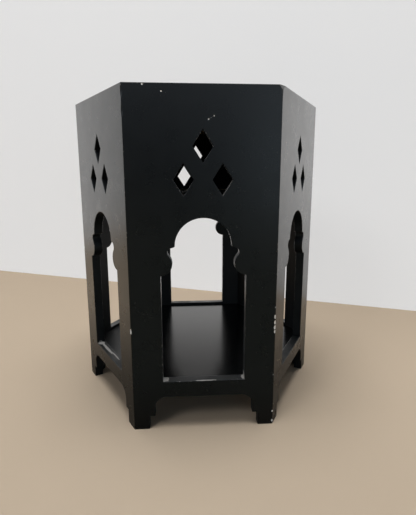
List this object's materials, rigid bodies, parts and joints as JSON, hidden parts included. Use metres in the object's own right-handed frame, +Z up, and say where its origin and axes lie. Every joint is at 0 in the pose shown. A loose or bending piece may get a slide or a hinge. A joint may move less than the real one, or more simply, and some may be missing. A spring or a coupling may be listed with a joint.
{
  "type": "side table",
  "caption": "Six-sided black lacquered side table with Moroccan arch openings, lozenge piercings and a low shelf.",
  "frame": {"origin": "on the floor, at the middle of the six feet", "axes": "+Z up; -Y out of the front panel; +X to the right as seen from the front, through an upright arris"},
  "size_m": [0.4396, 0.381, 0.518],
  "materials": {
    "black_lacquer": "satin black lacquer over white primer on fibreboard",
    "sawn_pine": "sawn, bare",
    "birch_ply": "bare plywood",
    "zinc_steel": "bright zinc plate"
  },
  "bodies": {
    "root": {"front_panel": "black_lacquer", "front_right_panel": "black_lacquer", "back_right_panel": "black_lacquer", "back_panel": "black_lacquer", "back_left_panel": "black_lacquer", "front_left_panel": "black_lacquer", "top_board": "black_lacquer", "niche_ceiling": "black_lacquer", "shelf_board": "black_lacquer", "front_top_cleat": "sawn_pine", "front_right_top_cleat": "sawn_pine", "back_right_top_cleat": "sawn_pine", "back_top_cleat": "sawn_pine", "back_left_top_cleat": "sawn_pine", "front_left_top_cleat": "sawn_pine", "front_right_corner_tongue": "birch_ply", "right_corner_tongue": "birch_ply", "back_right_corner_tongue": "birch_ply", "back_left_corner_tongue": "birch_ply", "left_corner_tongue": "birch_ply", "front_left_corner_tongue": "birch_ply", "cleat_screws": "zinc_steel", "top_screws": "zinc_steel"}
  },
  "joints": []
}
